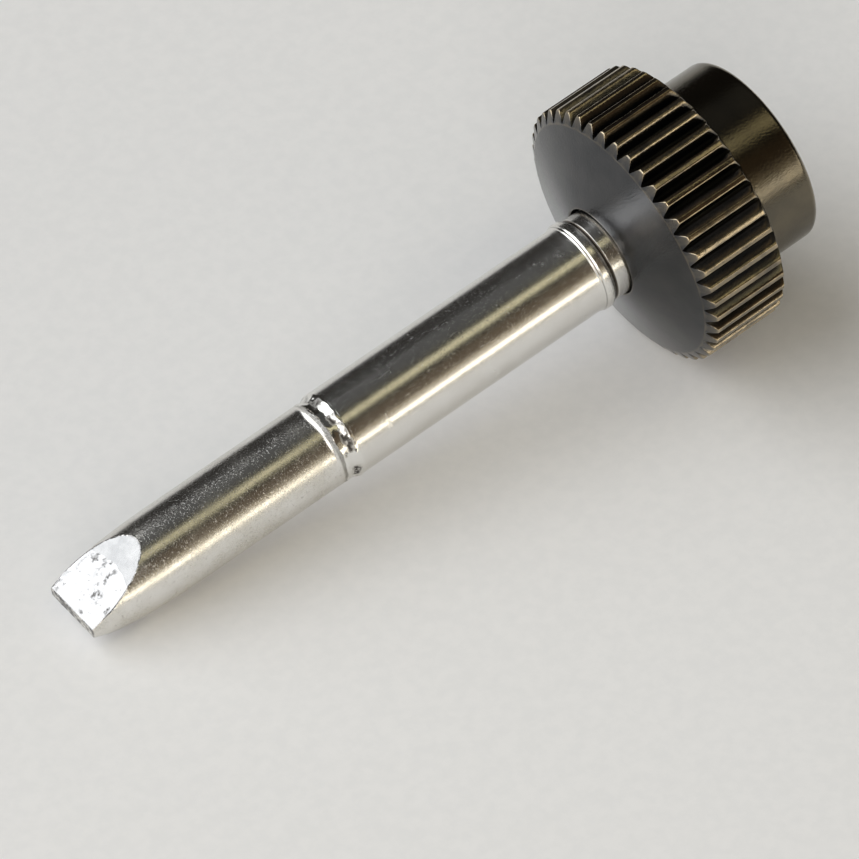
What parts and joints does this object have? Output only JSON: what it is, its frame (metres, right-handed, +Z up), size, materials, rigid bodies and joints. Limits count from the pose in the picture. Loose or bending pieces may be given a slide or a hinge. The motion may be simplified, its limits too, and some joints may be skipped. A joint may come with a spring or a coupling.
{
  "type": "soldering iron tip",
  "caption": "Chisel soldering tip brazed into a hollow steel sleeve, with a captive black knurled nut behind a rolled bead.",
  "frame": {"origin": "on the table, under the middle of the bounding box of the tool lying at rest", "axes": "+X along the tool from the chisel edge to the nut, as seen from above; +Z up; the tool axis rises 9.5 degrees towards +X"},
  "size_m": [0.0624, 0.0212, 0.022],
  "materials": {
    "plated_iron": "grainy bright plating over iron",
    "copper": "turned copper",
    "solder": "bright wet solder with small dark pits",
    "braze_alloy": "ragged bright braze",
    "bright_steel": "bright lightly scuffed plated steel",
    "black_metal": "bead-blasted black finish with a bronze sheen",
    "zinc_steel": "turned steel"
  },
  "bodies": {
    "tip_assembly": {"iron_cladding": "plated_iron", "copper_core": "copper", "solder_coat_top": "solder", "solder_coat_bottom": "solder", "braze_ring": "braze_alloy", "sleeve": "bright_steel", "retaining_collar": "zinc_steel"},
    "washer": {"thrust_washer": "zinc_steel"},
    "nut": {"knurled_nut": "black_metal"}
  },
  "joints": [
    {"name": "nut_slide", "type": "slide", "parent": "tip_assembly", "child": "washer", "axis": [0.9862, 0, 0.1656], "range_m": [-0.00135, 0.00225]},
    {"name": "nut_spin", "type": "hinge", "parent": "washer", "child": "nut", "pos_m": [0.02111, 0, 0.011], "axis": [0.9862, 0, 0.1656], "continuous": true}
  ]
}
